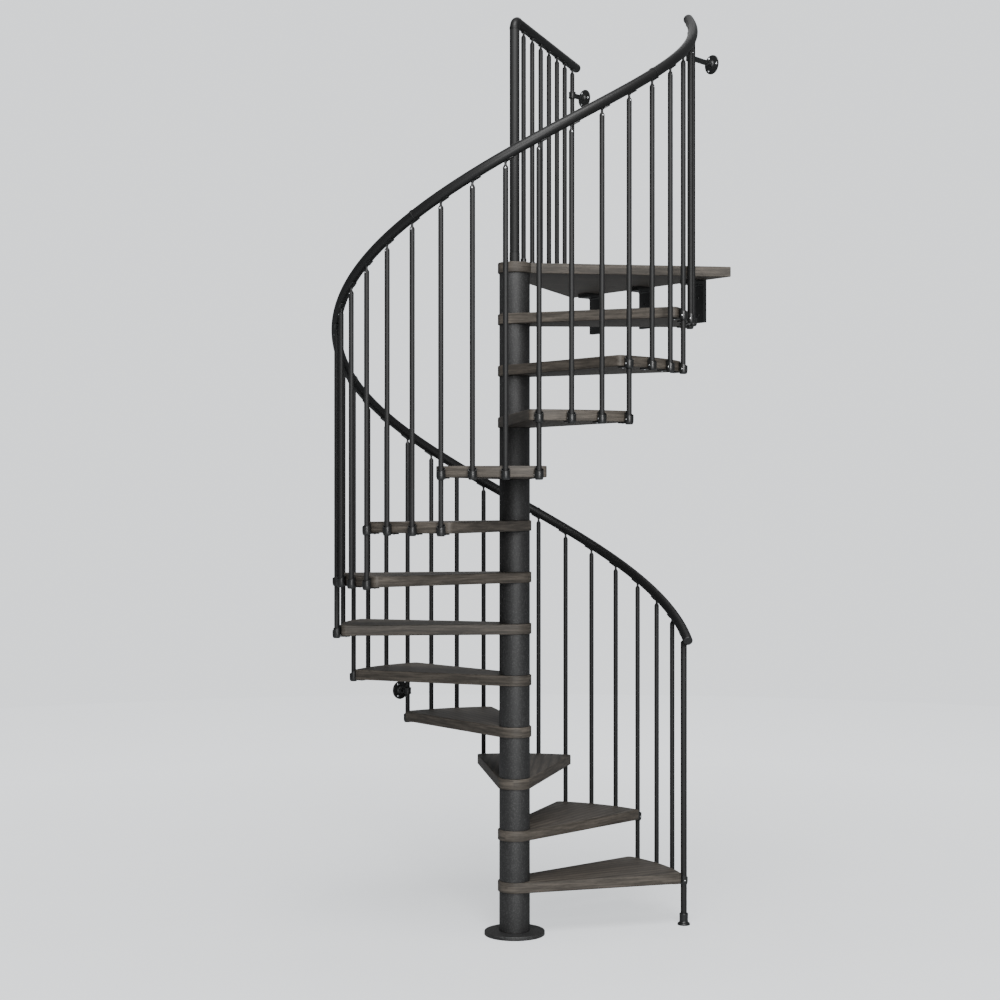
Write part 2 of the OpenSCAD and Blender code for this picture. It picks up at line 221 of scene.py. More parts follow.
def powder_coating(name, grain_size, depth, gloss, tones):
    """Powder coat of that grain size, depth and gloss, in a dark, middle and light tone."""
    finish, tree = new_finish(name)
    places = add_node(tree, "TexCoord").outputs["Object"]
    grain = add_node(tree, "TexNoise", {
        "Vector": places, "Scale": 1 / grain_size, "Detail": 2.0, "Roughness": 0.6})
    drift = add_node(tree, "TexNoise", {"Vector": places, "Scale": 3.0, "Detail": 1.0})
    speckle = add_node(tree, "ValToRGB", {"Fac": grain},
                       list(zip((0.36, 0.52, 0.66), map(paint, tones))))
    matt = add_node(tree, "MapRange", {"Value": drift, "To Min": 0.58, "To Max": 0.64})
    skin = add_node(tree, "Bump", {"Height": grain, "Strength": 0.5, "Distance": depth})
    surface(tree, {"Base Color": speckle, "Roughness": matt, "Normal": skin,
                   "IOR": 1.5, "Specular IOR Level": gloss})
    print(name, "grain", grain_size / MM, "mm")
    return finish


powder_coat = powder_coating("anthracite_powder_coat", COLUMN_GRAIN, 1.6 * MM, 0.65,
                             ("#050505", "#101010", "#2d2d2d"))
bar_coat = powder_coating("fine_anthracite_powder_coat", BAR_GRAIN, 0.1 * MM, 0.45,
                          ("#0b0b0b", "#0f0f0f", "#161616"))

# %% [markdown]
# ## Handrail plastic
# The handrail is an extruded plastic profile, bent to the helix when warm.
# Extrusion leaves a smooth satin skin with very faint streaks and no grain,
# so its highlight is longer and cleaner than on the powder coat.

# %% Material: extruded handrail plastic
STREAK = 6 * MM
rail_plastic, tree = new_finish("satin_pvc_handrail")
places = add_node(tree, "TexCoord").outputs["Object"]
streaks = add_node(tree, "TexNoise", {"Vector": places, "Scale": 1 / STREAK, "Detail": 3.0})
cloud = add_node(tree, "TexNoise", {"Vector": places, "Scale": 5.0, "Detail": 2.0})
tone = add_node(tree, "ValToRGB", {"Fac": cloud},
                [(0.3, paint("#0c0c0c")), (0.7, paint("#111111"))])
satin = add_node(tree, "MapRange", {"Value": streaks, "To Min": 0.46, "To Max": 0.52})
skin = add_node(tree, "Bump", {"Height": streaks, "Strength": 0.1, "Distance": 0.04 * MM})
surface(tree, {"Base Color": tone, "Roughness": satin, "Normal": skin,
               "IOR": 1.53, "Specular IOR Level": 0.32})
print("handrail streaks", STREAK / MM, "mm")

# %% [markdown]
# ## Black nylon fittings
# Clips, feet, anchors and brackets are moulded or cast and coloured black.
# Moulding gives a fine orange-peel skin: nearly smooth, with a slightly broken gloss.

# %% Material: moulded black nylon
PEEL = 3 * MM
black_nylon, tree = new_finish("moulded_black_nylon")
places = add_node(tree, "TexCoord").outputs["Object"]
peel = add_node(tree, "TexNoise", {
    "Vector": places, "Scale": 1 / PEEL, "Detail": 2.0, "Roughness": 0.5})
tone = add_node(tree, "ValToRGB", {"Fac": peel},
                [(0.35, paint("#0e0f0f")), (0.65, paint("#161717"))])
satin = add_node(tree, "MapRange", {"Value": peel, "To Min": 0.34, "To Max": 0.44})
skin = add_node(tree, "Bump", {"Height": peel, "Strength": 0.15, "Distance": 0.12 * MM})
surface(tree, {"Base Color": tone, "Roughness": satin, "Normal": skin,
               "IOR": 1.53, "Specular IOR Level": 0.5})
print("orange peel", PEEL / MM, "mm")

# %% [markdown]
# ## Zinc-plated screws
# The screw heads are plated steel: a real metal, and the only bright spots
# on the stair. A little roughness keeps each glint small and soft.

# %% Material: zinc-plated steel
BRUSH_MARKS = 900.0
zinc, tree = new_finish("zinc_plated_steel")
places = add_node(tree, "TexCoord").outputs["Object"]
brushing = add_node(tree, "TexNoise", {"Vector": places, "Scale": BRUSH_MARKS, "Detail": 2.0})
tone = add_node(tree, "ValToRGB", {"Fac": brushing},
                [(0.3, paint("#c9ccce")), (0.7, paint("#e2e4e5"))])
dull = add_node(tree, "MapRange", {"Value": brushing, "To Min": 0.22, "To Max": 0.36})
surface(tree, {"Base Color": tone, "Roughness": dull, "Metallic": 1.0})
print("zinc", round(BRUSH_MARKS), "marks a metre")

# %% [markdown]
# ## Stained beech
# Treads and landing are beech, glued from staves, edged with the same wood, stained
# grey-brown and varnished matt. The stain sinks into the pores, so fine dark dashes run
# with the grain over slow growth lines. A solid texture would cut across the grain on
# every edge, but the real edges are faced lengthwise, so the texture follows a
# grain map instead: metres along the grain and metres across it, on every face.
# Each board holds a number that moves it to another part of the log. Beech pores are
# well under 1 mm wide, so they and the fibres are drawn several times coarser.

# %% Material: stained beech
RING_SPACING = 32 * MM
FIBRE = 7 * MM
PORE = 2.8 * MM
STAVE = 62 * MM
stained_beech, tree = new_finish("grey_stained_beech")
grain_map = add_node(tree, "UVMap", uv_map="grain")
board = add_node(tree, "Attribute", attribute_name="board").outputs["Vector"]
log = add_node(tree, "VectorMath", {0: board, 1: (3.7, 0.61, 0.043), 2: grain_map},
               operation="MULTIPLY_ADD")
# Growth lines are rings about a pith that lies beside the board, cut lengthwise
ring_space = add_node(tree, "VectorMath", {0: log, 1: (0.07, 1.0, 1.0), 2: (0, 0.03, 0.12)},
                      operation="MULTIPLY_ADD")
rings = add_node(tree, "TexWave", {
    "Vector": ring_space, "Scale": 2 * pi / (20 * RING_SPACING), "Distortion": 3.5,
    "Detail": 3.0, "Detail Scale": 0.7, "Detail Roughness": 0.5},
    wave_type="RINGS", rings_direction="X", wave_profile="SIN").outputs["Fac"]
# Fibres are twenty times longer than wide
fibre_space = add_node(tree, "VectorMath", {0: log, 1: (1 / 20, 1.0, 1.0)},
                       operation="MULTIPLY")
fibres = add_node(tree, "TexNoise", {
    "Vector": fibre_space, "Scale": 1 / FIBRE, "Detail": 4.0, "Roughness": 0.6})
clouds = add_node(tree, "TexNoise", {"Vector": fibre_space, "Scale": 22.0, "Detail": 2.0})
pore_space = add_node(tree, "VectorMath", {0: log, 1: (1 / 9, 1.0, 1.0)}, operation="MULTIPLY")
pores = add_node(tree, "TexNoise", {"Vector": pore_space, "Scale": 1 / PORE, "Detail": 1.0})
# Each stave takes the stain a little differently
across = add_node(tree, "SeparateXYZ", {"Vector": log}).outputs["Y"]
stave = add_node(tree, "Math", {0: across, 1: STAVE}, operation="DIVIDE")
stave_number = add_node(tree, "Math", {0: stave}, operation="FLOOR")
stave_tone = add_node(tree, "TexWhiteNoise", {"W": stave_number}, noise_dimensions="1D")
stave_share = add_node(tree, "MapRange", {"Value": stave_tone, "To Min": 0.93, "To Max": 1.06})
cloud_share = add_node(tree, "MapRange", {"Value": clouds, "To Min": 0.88, "To Max": 1.12})
patch = add_node(tree, "Math", {0: stave_share, 1: cloud_share}, operation="MULTIPLY")
stain = add_node(tree, "ValToRGB", {"Fac": fibres},
                 [(0.36, paint("#38342f")), (0.50, paint("#46413b")), (0.64, paint("#554f48"))])
ring_tone = add_node(tree, "ValToRGB", {"Fac": rings},
                     [(0.0, grey(0.58)), (0.35, grey(0.92)), (1.0, grey(1.12))])
# Top and underside are sawn flat and show the rings in full; the edges show them faintly
facing = add_node(tree, "SeparateXYZ",
                  {"Vector": add_node(tree, "NewGeometry").outputs["Normal"]}).outputs["Z"]
flatness = add_node(tree, "Math", {0: facing}, operation="ABSOLUTE")
flat_share = add_node(tree, "MapRange", {"Value": flatness, "To Min": 0.3, "To Max": 1.0})
# A Mix node's colour sockets are numbers 6 and 7, and its colour result is number 2
with_rings = add_node(tree, "Mix", {0: flat_share, 6: stain, 7: ring_tone},
                      data_type="RGBA", blend_type="MULTIPLY").outputs[2]
patched = add_node(tree, "Mix", {0: 1.0, 6: with_rings, 7: patch},
                   data_type="RGBA", blend_type="MULTIPLY").outputs[2]
pore_mask = add_node(tree, "ValToRGB", {"Fac": pores}, [(0.56, grey(0.0)), (0.70, grey(0.8))])
pore_depth = add_node(tree, "MapRange", {"Value": flatness, "To Min": 0.55, "To Max": 1.0})
pore_share = add_node(tree, "Math", {0: pore_mask, 1: pore_depth}, operation="MULTIPLY")
pored = add_node(tree, "Mix", {0: pore_share, 6: patched, 7: paint("#2a2622")},
                 data_type="RGBA").outputs[2]
varnish = add_node(tree, "MapRange", {"Value": fibres, "To Min": 0.50, "To Max": 0.66})
relief = add_node(tree, "Math", {0: fibres, 1: pore_mask}, operation="SUBTRACT")
grain_bump = add_node(tree, "Bump", {"Height": relief, "Strength": 0.3, "Distance": 0.4 * MM})
surface(tree, {"Base Color": pored, "Roughness": varnish, "Normal": grain_bump,
               "IOR": 1.5, "Specular IOR Level": 0.3})
print("ring spacing", RING_SPACING / MM, "mm, fibre", FIBRE / MM, "mm")

# %% [markdown]
# ## Mesh helpers
# Most of the stair is round, so most of it is a profile turned about an axis.
# A profile is a list of corners (radius, height, easing). The easing rounds the
# corner off, because a real edge is never sharp: that thin rounded line is what
# catches the light and makes a part look made rather than drawn.

# %% Helper: eased profiles
EASE_STEPS = 4


def eased(corners, closed=False):
    """Points of a profile, with each corner rounded off by its own easing."""
    points = []
    count = len(corners)
    for n, (r, z, ease) in enumerate(corners):
        here = Vector((r, z))
        at_end = not closed and n in (0, count - 1)
        if at_end or ease == 0:
            points.append(here)
            continue
        before = Vector(corners[n - 1][:2]) - here
        after = Vector(corners[(n + 1) % count][:2]) - here
        start = here + before.normalized() * min(ease, before.length / 2)
        end = here + after.normalized() * min(ease, after.length / 2)
        for step in range(EASE_STEPS + 1):
            t = step / EASE_STEPS
            points.append(start * (1 - t) ** 2 + here * 2 * t * (1 - t) + end * t ** 2)
    return points


print("eased corner", len(eased([(0, 0, 0), (1, 0, 0.2), (1, 1, 0)])), "points")

# %% [markdown]
# ## Turning a profile
# Blender could spin the profile with a Screw modifier. Building the rings in
# bmesh is as short, and it can place a hundred turned parts in one mesh,
# which keeps a set of equal fittings together as one piece.

# %% Helper: turned parts


def turned(shape, corners, place=Matrix(), sides=32, closed=False):
    """Adds a turned part to a bmesh: the profile is spun about the local Z axis."""
    rings = []
    for r, z in eased(corners, closed):
        if r < 1e-7:
            rings.append([shape.verts.new(place @ Vector((0, 0, z)))])
            continue
        rings.append([shape.verts.new(place @ Vector((r * cos(a), r * sin(a), z)))
                      for a in (2 * pi * s / sides for s in range(sides))])
    pairs = list(zip(rings, rings[1:]))
    if closed:
        pairs.append((rings[-1], rings[0]))
    for low, high in pairs:
        for s in range(sides):
            t = (s + 1) % sides
            corners_of_face = [low[s % len(low)], low[t % len(low)],
                               high[t % len(high)], high[s % len(high)]]
            face = list(dict.fromkeys(corners_of_face))
            if len(face) > 2:
                shape.faces.new(face)


def swept(shape, rings):
    """Adds a solid through a row of equal rings, closed at both ends."""
    rows = [[shape.verts.new(point) for point in ring] for ring in rings]
    count = len(rows[0])
    for low, high in zip(rows, rows[1:]):
        for s in range(count):
            t = (s + 1) % count
            shape.faces.new([low[s], low[t], high[t], high[s]])
    shape.faces.new(list(reversed(rows[0])))
    shape.faces.new(rows[-1])


print("turning and sweeping ready")

# %% [markdown]
# ## Adding a piece
# Every piece is one mesh with one finish. It is shaded smooth, except
# over edges sharper than 35 degrees, so round parts look round and flat parts stay flat.
# It rides on the stair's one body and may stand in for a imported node.

# %% Helper: finished pieces
SHARP_EDGE = radians(35)


def add_piece(name, shape, finish, slot, *stands_for, place=Matrix()):
    """Turns a bmesh into a piece that rides on the stair."""
    bmesh.ops.recalc_face_normals(shape, faces=shape.faces)
    for face in shape.faces:
        face.smooth = True
    for edge in shape.edges:
        if len(edge.link_faces) == 2 and edge.calc_face_angle() > SHARP_EDGE:
            edge.smooth = False
    mesh = bpy.data.meshes.new(name)
    shape.to_mesh(mesh)
    shape.free()
    # The place goes into the mesh, so that the piece's box is no wider than the piece
    mesh.transform(place)
    mesh.materials.append(finish)
    piece = bpy.data.objects.new(name, mesh)
    bpy.context.scene.collection.objects.link(piece)
    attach(piece, "root")
    if stands_for:
        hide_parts(*stands_for)
    print(name, len(mesh.polygons), "faces")
    return piece


# %% [markdown]
# ## The base plate
# A round steel plate on the floor carries the whole weight. Its rim is turned to
# a soft radius, and a thin shadow line parts it from the column's foot.

# %% Base plate
base_low, base_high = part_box("base_plate")
BASE_R = (base_high.x - base_low.x) / 2
shape = bmesh.new()
turned(shape, [
    (0, base_low.z, 0),
    (BASE_R, base_low.z, 1.5 * MM),
    (BASE_R, base_high.z, 4 * MM),
    (0, base_high.z, 0)
], sides=128)
add_piece("floor_base_plate", shape, powder_coat, "powder_coated_steel", "base_plate")
print("base plate radius", round(BASE_R / MM, 1), "mm")

# %% [markdown]
# ## The column
# The column isn't one tube: short spacer tubes alternate with the treads' hubs on
# one long tie rod. The cut ends are eased, so each joint shows
# as a thin shadow line above and below the wood.

# %% Column spacers
TUBE_WALL = 4 * MM
CUT_EASE = 1.8 * MM
shape = bmesh.new()
for i in range(1, TREADS + 2):
    foot = base_high.z if i == 1 else tread_top(i - 1)
    head = tread_top(i) - BOARD_T
    turned(shape, [
        (COLUMN_R - TUBE_WALL, foot, 0),
        (COLUMN_R, foot, CUT_EASE),
        (COLUMN_R, head, CUT_EASE),
        (COLUMN_R - TUBE_WALL, head, 0)
    ], sides=96, closed=True)
add_piece("column_tubes", shape, powder_coat, "powder_coated_steel", "column_spacers")
print("spacers", TREADS + 1)

# %% [markdown]
# ## The treads
# Each tread is a wedge of glued beech with a round hub that the column clamps.
# The outline is a hub arc, two straight sides and an arc outside, and its
# edges are rounded over with a small cutter. The board and its grain map are made in
# the board's own space, with X along the grain, and then turned into place together,
# so every board gets its grain the same way however it points.

# %% Tread outline
HUB_R = COLUMN_R + 6 * MM
TREAD_R = 700 * MM
CORNER_R = 18 * MM
TREAD_HALF = radians(17.35)
ROUND_OVER = 3 * MM


def arc(middle, radius, start, end, steps):
    """Points of an arc, from one angle to the other."""
    angles = [start + (end - start) * n / steps for n in range(steps + 1)]
    return [middle + radius * Vector((cos(a), sin(a))) for a in angles]


side = TREAD_HALF - asin(HUB_R / TREAD_R)
side_out = Vector((-sin(side), cos(side)))
side_along = Vector((cos(side), sin(side)))
inset = HUB_R - CORNER_R
corner_middle = (inset * side_out + sqrt((TREAD_R - CORNER_R) ** 2 - inset ** 2) * side_along)
corner_angle = atan2(corner_middle.y, corner_middle.x)
half_outline = (arc(Vector((0, 0)), HUB_R, pi, side + QUARTER, 24)
                + arc(corner_middle, CORNER_R, side + QUARTER, corner_angle, 8)
                + arc(Vector((0, 0)), TREAD_R, corner_angle * 15 / 16, 0, 15))
tread_line = half_outline + [Vector((p.x, -p.y)) for p in half_outline[-2:0:-1]]
print("tread outline", len(tread_line), "points")

# %% [markdown]
# ## Boards with rounded edges
# A board is its outline, stacked at a few heights and drawn in a little at the
# top and bottom. Drawing in each corner along its own bisector keeps the
# rounding even, which a Bevel modifier can't promise on short edges. The facing
# on the edges is cut so that its lines lie a little wider apart than on top.

# %% Helper: boards
EDGE_GRAIN = 0.8


def drawn_in(outline, amount):
    """The outline moved inwards by an even amount."""
    moved = []
    count = len(outline)
    area = sum(outline[n - 1].cross(outline[n]) for n in range(count))
    turn = 1 if area > 0 else -1
    for n, here in enumerate(outline):
        before = (here - outline[n - 1]).normalized()
        after = (outline[(n + 1) % count] - here).normalized()
        inwards = [Vector((-d.y, d.x)) * turn for d in (before, after)]
        bisector = (inwards[0] + inwards[1]).normalized()
        moved.append(here + bisector * amount / max(bisector.dot(inwards[0]), 0.3))
    return moved


def board_shape(outline, thickness, round_over):
    """A bmesh board from z = 0 up, with rounded edges and a grain map in metres."""
    shape = bmesh.new()
    grain_map = shape.loops.layers.uv.new("grain")
    count = len(outline)
    lengths = [0.0]
    for n in range(count):
        lengths.append(lengths[-1] + (outline[(n + 1) % count] - outline[n]).length)
    levels = []
    for step in range(EASE_STEPS + 1):
        a = QUARTER * step / EASE_STEPS
        levels.append((round_over * (1 - sin(a)), round_over * (1 - cos(a))))
    levels += [(amount, thickness - height) for amount, height in reversed(levels)]
    rows = [[shape.verts.new((p.x, p.y, height)) for p in drawn_in(outline, amount)]
            for amount, height in levels]
    for row in range(len(rows) - 1):
        low, high = rows[row], rows[row + 1]
        z_low, z_high = levels[row][1], levels[row + 1][1]
        for s in range(count):
            t = (s + 1) % count
            face = shape.faces.new([low[s], low[t], high[t], high[s]])
            spots = ((lengths[s], EDGE_GRAIN * z_low), (lengths[s + 1], EDGE_GRAIN * z_low),
                     (lengths[s + 1], EDGE_GRAIN * z_high), (lengths[s], EDGE_GRAIN * z_high))
            for loop, spot in zip(face.loops, spots):
                loop[grain_map].uv = spot
    for row in (list(reversed(rows[0])), rows[-1]):
        for loop in shape.faces.new(row).loops:
            loop[grain_map].uv = loop.vert.co.xy
    return shape


def number_board(piece, number):
    """Gives the board its own part of the log."""
    layer = piece.data.attributes.new("board", "FLOAT", "POINT")
    layer.data.foreach_set("value", [number] * len(piece.data.vertices))


print("board helper ready")

# %% Treads
for i in range(1, TREADS + 1):
    name = "tread_%02d" % i
    place = spin(NEWEL_ANGLE + (i - 0.5) * TREAD_TURN, "Z")
    place.translation.z = tread_top(i) - BOARD_T
    board_piece = add_piece("beech_" + name, board_shape(tread_line, BOARD_T, ROUND_OVER),
                            stained_beech, "stained_wood", name, place=place)
    number_board(board_piece, i * 0.37)
print("treads", TREADS)

# %% [markdown]
# ## The landing
# The landing closes the stair at the thirteenth level: a wedge like a tread, but
# wide enough to stand on, with its long edge against the wall. Its grain
# runs along the front edge, where the eye meets it first.

# %% Landing
LEFT_EDGE = radians(121.05)
FRONT_EDGE = radians(60)
FRONT_GAP = 5 * MM
BAR_R = 10 * MM
last_spot = RAIL_REACH * Vector((cos(bar_angle(LAST_BAR)), sin(bar_angle(LAST_BAR))))
front_out = Vector((sin(FRONT_EDGE), -cos(FRONT_EDGE)))
front_dir = Vector((cos(FRONT_EDGE), sin(FRONT_EDGE)))
front_offset = last_spot.dot(front_out) - BAR_R - FRONT_GAP
front_foot = front_out * front_offset
right_corner = front_foot + front_dir * (WALL_REACH - front_foot.y) / front_dir.y
left_touch = HUB_R * Vector((-sin(LEFT_EDGE), cos(LEFT_EDGE)))
left_dir = Vector((cos(LEFT_EDGE), sin(LEFT_EDGE)))
left_corner = left_touch + left_dir * (WALL_REACH - left_touch.y) / left_dir.y
front_leave = FRONT_EDGE - QUARTER + acos(front_offset / HUB_R)
landing_line = (arc(Vector((0, 0)), HUB_R, LEFT_EDGE + QUARTER,
                    front_leave + 2 * pi, 24)
                + [right_corner, left_corner])
# The grain follows the front edge, so the outline is turned back before it is cut
GRAIN_TURN = FRONT_EDGE
turn_back = Matrix.Rotation(-GRAIN_TURN, 2)
place = spin(GRAIN_TURN, "Z")
place.translation.z = LANDING_TOP - BOARD_T
grain_line = [turn_back @ p for p in landing_line]
landing_piece = add_piece("beech_landing", board_shape(grain_line, BOARD_T, ROUND_OVER),
                          stained_beech, "stained_wood", "landing", place=place)
number_board(landing_piece, 6.1)
print("landing corners", [round(v, 3) for v in (*left_corner, *right_corner)])

# %% [markdown]
# ## Balusters
# The balusters are straight round bars. The top is turned down to a rounded shoulder
# with a pin in it, and the bottom edge is broken with a file. Three belong to each
# tread, and every third one runs on down through the next tread's clip.

# %% Balusters and newel
CLIP_DROP = 10 * MM
PIN_R = 5 * MM
PIN_H = 15 * MM
RAIL_R = 20 * MM
SHOULDER = 6 * MM
NEWEL_R = (newel_high.x - newel_low.x) / 2
CLIMB = RISE / TREAD_TURN
RAIL_SLOPE = atan2(CLIMB, RAIL_REACH)
RAIL_OVER_TREADS = 994.5 * MM


def rail_height(turn):
    """Height of the handrail's centre, that far round from the newel."""
    return first_high.z + RAIL_OVER_TREADS + CLIMB * turn


def bar_foot(k):
    """Lower end of baluster k, level with its clip."""
    return tread_top(ceil(k / BARS_PER_TREAD)) - BOARD_T - CLIP_DROP


def bar_head(k):
    """Top of baluster k's shoulder, a pin's length under the handrail."""
    return rail_height(k * BAR_TURN) - RAIL_R / cos(RAIL_SLOPE) - PIN_H


def bar_profile(radius, foot, head):
    """Profile of a bar with a rounded shoulder and a filed lower edge."""
    return [
        (0, foot, 0),
        (radius, foot, 1.5 * MM),
        (radius, head - SHOULDER, 3.5 * MM),
        (PIN_R + 1.5 * MM, head, 2 * MM),
        (0, head, 0)
    ]


shape = bmesh.new()
turned(shape, bar_profile(NEWEL_R, newel_low.z + 0.5 * MM, bar_head(0)),
       stand_at(NEWEL_ANGLE, RAIL_REACH, 0), sides=40)
add_piece("newel_bar", shape, bar_coat, "powder_coated_steel", "newel_post")
for i in range(1, TREADS + 1):
    shape = bmesh.new()
    for k in range((i - 1) * BARS_PER_TREAD + 1, i * BARS_PER_TREAD + 1):
        turned(shape, bar_profile(BAR_R, bar_foot(k), bar_head(k)),
               stand_at(bar_angle(k), RAIL_REACH, 0), sides=28)
    name = "balusters_%02d" % i
    add_piece("steel_" + name, shape, bar_coat, "powder_coated_steel", name)
print("rail slope", round(degrees(RAIL_SLOPE), 2), "degrees")

# %% [markdown]
# ## Tread clips
# A clip is a moulded cup round the baluster with a tab that is screwed up
# into the tread's underside. The cup has a bowl-shaped bottom and a slanted open mouth
# that is higher towards the wood. It is turned as a full-height cup with a thin wall,
# and then one cut along the slant takes the top off.

# %% Tread clip
CLIP_R = 17 * MM
CLIP_LOW = 31 * MM
CLIP_HIGH = 46 * MM
TAB_L = 36 * MM
TAB_W = 30 * MM
TAB_T = 5 * MM
SOFT = 0.9 * MM
LIP = 3 * MM
CUP_FLOOR = 12 * MM


def rounded_plate(shape, outline, low, high, place, ease=SOFT):
    """Adds a plate with that outline to a bmesh, with soft upper and lower edges."""
    levels = [(ease, low), (ease * 0.3, low + ease * 0.3), (0, low + ease),
              (0, high - ease), (ease * 0.3, high - ease * 0.3), (ease, high)]
    swept(shape, [[place @ Vector((p.x, p.y, z)) for p in drawn_in(outline, amount)]
                  for amount, z in levels])


def tab_outline():
    """Outline of a clip's tab: square at the cup and rounded under the tread."""
    reach = CLIP_R + TAB_L
    nose = 9 * MM
    half = TAB_W / 2
    upper = arc(Vector((-reach + nose, half - nose)), nose, QUARTER, pi, 5)
    return ([Vector((-6 * MM, half - 3 * MM))] + upper
            + [Vector((p.x, -p.y)) for p in reversed(upper)]
            + [Vector((-6 * MM, -half + 3 * MM))])


def clip_shape(bar_r):
    """One clip in its own space: bar on Z, tread towards -X, tread's underside at 0."""
    shape = bmesh.new()
    bore = bar_r + 0.2 * MM
    turned(shape, [
        (bore, -CLIP_DROP, 0.4 * MM),
        (CLIP_R - 4.5 * MM, -CLIP_DROP, 1.5 * MM),
        (CLIP_R - 1.2 * MM, -CLIP_DROP + 5 * MM, 2.5 * MM),
        (CLIP_R, 4 * MM, 3 * MM),
        (CLIP_R, CLIP_HIGH + 5 * MM, 0),
        (CLIP_R - LIP, CLIP_HIGH + 5 * MM, 0),
        (CLIP_R - LIP, CUP_FLOOR, 0),
        (bore, CUP_FLOOR, 0)
    ], sides=40, closed=True)
    slant = atan2(CLIP_HIGH - CLIP_LOW, 2 * CLIP_R)
    mouth = (CLIP_LOW + CLIP_HIGH) / 2 - CLIP_DROP
    cut = bmesh.ops.bisect_plane(shape, geom=shape.verts[:] + shape.edges[:] + shape.faces[:],
                                 plane_co=(0, 0, mouth),
                                 plane_no=(sin(slant), 0, cos(slant)),
                                 clear_outer=True)
    rim = [e for e in cut["geom_cut"] if isinstance(e, bmesh.types.BMEdge)]
    bmesh.ops.bridge_loops(shape, edges=rim)
    rounded_plate(shape, tab_outline(), -TAB_T, 0, Matrix())
    return shape


def stamp(shape, pattern, place):
    """Copies a pattern mesh into a bmesh at that place."""
    copy = pattern.copy()
    copy.transform(place)
    shape.from_mesh(copy)
    bpy.data.meshes.remove(copy)


def as_pattern(shape, name):
    """Keeps a bmesh as a mesh that can be stamped many times."""
    pattern = bpy.data.meshes.new(name)
    shape.to_mesh(pattern)
    shape.free()
    return pattern


bar_clip = as_pattern(clip_shape(BAR_R), "bar_clip")
newel_clip = as_pattern(clip_shape(NEWEL_R), "newel_clip")
clip_places = [(k, stand_at(bar_angle(k), RAIL_REACH, tread_top(i) - BOARD_T))
               for i in range(1, TREADS + 1)
               for k in range((i - 1) * BARS_PER_TREAD, i * BARS_PER_TREAD + 1)]
shape = bmesh.new()
for k, place in clip_places:
    stamp(shape, newel_clip if k == 0 else bar_clip, place)
add_piece("nylon_tread_clips", shape, black_nylon, "black_fitting", "tread_clips")
print("clips", len(clip_places))

# %% [markdown]
# ## Saddles under the handrail
# A pin rises from each baluster's shoulder to a curved plate that hugs the rail's
# underside and reaches a little uphill. The plate is bent to the rail's
# own radius, so it is built as a patch of a slightly larger tube.

# %% Rail saddles
SADDLE_T = 4 * MM
SADDLE_BACK = 8 * MM
SADDLE_FRONT = 24 * MM
SADDLE_HALF_WIDTH = radians(31)


def on_rail(turn):
    """Frame on the rail's centre line: Z uphill, Y to the underside, X sideways."""
    return (stand_at(NEWEL_ANGLE + turn, RAIL_REACH, rail_height(turn))
            @ spin(RAIL_SLOPE - QUARTER, "X"))


def saddle_plate(shape, place, cell_count=10):
    """Adds the bent plate: rows run along the rail and shrink at the rounded ends."""
    middle = (SADDLE_FRONT - SADDLE_BACK) / 2
    half_length = (SADDLE_FRONT + SADDLE_BACK) / 2
    rings = []
    for share in (-1, -0.96, -0.85, -0.6, 0, 0.6, 0.85, 0.96, 1):
        z = middle + share * half_length
        spread = SADDLE_HALF_WIDTH * (1 - 0.55 * abs(share) ** 8)
        thick = SADDLE_T * (0.55 if abs(share) == 1 else 1)
        angles = [spread * (2 * c / cell_count - 1) for c in range(cell_count + 1)]
        outer = [((RAIL_R + thick) * sin(a), (RAIL_R + thick) * cos(a), z) for a in angles]
        inner = [((RAIL_R - 1 * MM) * sin(a), (RAIL_R - 1 * MM) * cos(a), z)
                 for a in reversed(angles)]
        rings.append([place @ Vector(p) for p in outer + inner])
    swept(shape, rings)


def saddle_pin(shape, place, head, top):
    """Adds the pin with its little foot and the cup under the plate."""
    turned(shape, [
        (0, head - 1 * MM, 0),
        (PIN_R + 0.6 * MM, head - 1 * MM, 0.4 * MM),
        (PIN_R + 0.6 * MM, head + 2 * MM, 0.8 * MM),
        (PIN_R - 0.4 * MM, head + 4 * MM, 1 * MM),
        (PIN_R - 0.4 * MM, top - 7 * MM, 2 * MM),
        (PIN_R + 2.5 * MM, top, 1 * MM),
        (0, top + 3 * MM, 0)
    ], place, sides=20)


landing_rail_low, landing_rail_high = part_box("landing_handrail")
LANDING_RAIL_Z = (landing_rail_low.z + landing_rail_high.z) / 2
LANDING_RAIL_ANGLE = radians(122.7)
LANDING_BARS = 7
WALL_END_GAP = 36.3 * MM
RAIL_OVERHANG = 62 * MM
LANDING_RAIL_L = (WALL_REACH - WALL_END_GAP) / sin(LANDING_RAIL_ANGLE)
LANDING_PITCH = (LANDING_RAIL_L - RAIL_OVERHANG) / LANDING_BARS
LANDING_HEAD = LANDING_RAIL_Z - RAIL_R - PIN_H
shape = bmesh.new()
for k in range(LAST_BAR + 1):
    head = bar_head(k)
    saddle_pin(shape, stand_at(bar_angle(k), RAIL_REACH, 0), head, head + PIN_H + 1 * MM)
    saddle_plate(shape, on_rail(k * BAR_TURN))
for j in range(1, LANDING_BARS + 1):
    spot = stand_at(LANDING_RAIL_ANGLE, j * LANDING_PITCH, 0)
    saddle_pin(shape, spot, LANDING_HEAD, LANDING_HEAD + PIN_H + 1 * MM)
    lying = shift(0, 0, LANDING_RAIL_Z) @ spot @ Matrix(
        ((0, 0, 1, 0), (1, 0, 0, 0), (0, -1, 0, 0), (0, 0, 0, 1)))
    saddle_plate(shape, lying)
add_piece("nylon_rail_saddles", shape, black_nylon, "black_fitting", "rail_saddles")
print("saddles", LAST_BAR + 1 + LANDING_BARS)

